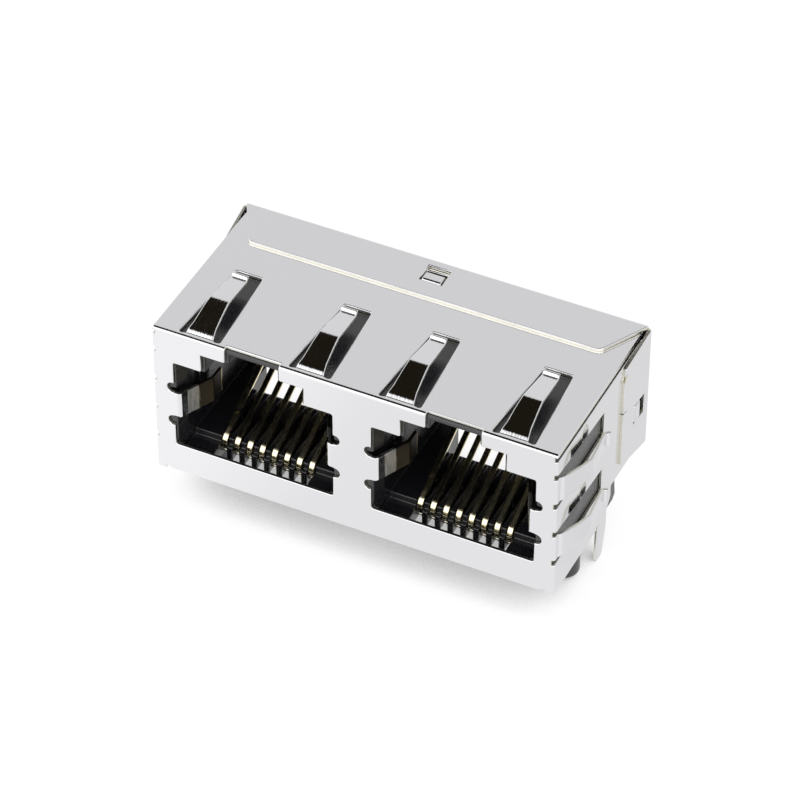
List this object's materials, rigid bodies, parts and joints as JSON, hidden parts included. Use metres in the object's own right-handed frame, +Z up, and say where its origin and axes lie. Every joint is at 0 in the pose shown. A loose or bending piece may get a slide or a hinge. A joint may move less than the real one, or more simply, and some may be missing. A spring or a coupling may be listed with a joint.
{
  "type": "rj45 board jack",
  "caption": "Shielded modular jack for a circuit board, with side-by-side ports, grounding spring fingers, latched rear cover and through-hole tails.",
  "frame": {"origin": "on the board, midway between the two locating posts", "axes": "+X across the ports, +Y from the mating face to the rear, +Z up from the board"},
  "size_m": [0.0342, 0.0155, 0.0178],
  "materials": {
    "shell_metal": "bright tin plate, satin",
    "housing_plastic": "fine satin moulding",
    "insert_plastic": "fine satin moulding",
    "contact_metal": "gold plate, bright"
  },
  "bodies": {
    "root": {"front_shell": "shell_metal", "rear_cover": "shell_metal", "housing": "housing_plastic", "insert_1": "insert_plastic", "insert_2": "insert_plastic", "contact_1_1": "contact_metal", "contact_1_2": "contact_metal", "contact_1_3": "contact_metal", "contact_1_4": "contact_metal", "contact_1_5": "contact_metal", "contact_1_6": "contact_metal", "contact_1_7": "contact_metal", "contact_1_8": "contact_metal", "contact_2_1": "contact_metal", "contact_2_2": "contact_metal", "contact_2_3": "contact_metal", "contact_2_4": "contact_metal", "contact_2_5": "contact_metal", "contact_2_6": "contact_metal", "contact_2_7": "contact_metal", "contact_2_8": "contact_metal"}
  },
  "joints": []
}
